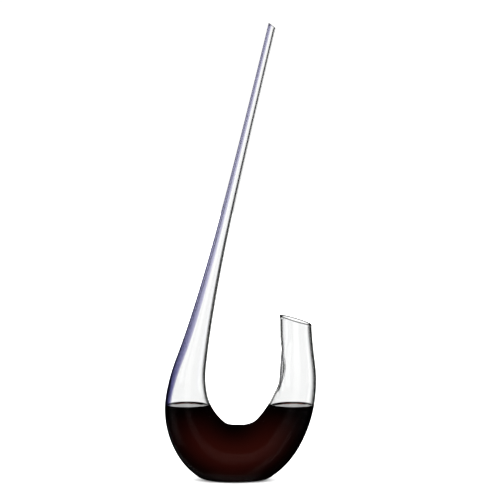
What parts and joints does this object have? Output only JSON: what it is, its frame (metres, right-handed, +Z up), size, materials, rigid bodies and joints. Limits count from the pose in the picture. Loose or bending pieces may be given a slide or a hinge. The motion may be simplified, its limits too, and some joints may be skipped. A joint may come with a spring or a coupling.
{
  "type": "wine decanter",
  "caption": "U-bent glass wine decanter with a slender leaning pouring neck, a violet stripe, a short filling arm with a finger dent, and a fill of red wine.",
  "frame": {"origin": "middle of the base on the surface that the decanter stands on, centred under its whole width and depth", "axes": "+Z up; the U lies in the XZ plane with the pouring neck towards -X and the filling arm towards +X; Y runs through its thickness"},
  "size_m": [0.1994, 0.0834, 0.6],
  "materials": {
    "clear_glass": "fire-polished",
    "violet_glass": "fire-polished",
    "red_wine": "liquid"
  },
  "bodies": {
    "root": {"bowl": "clear_glass", "shoulder": "clear_glass", "pouring_neck": "clear_glass", "filling_arm": "clear_glass", "violet_stripe": "violet_glass", "wine": "red_wine"}
  },
  "joints": []
}
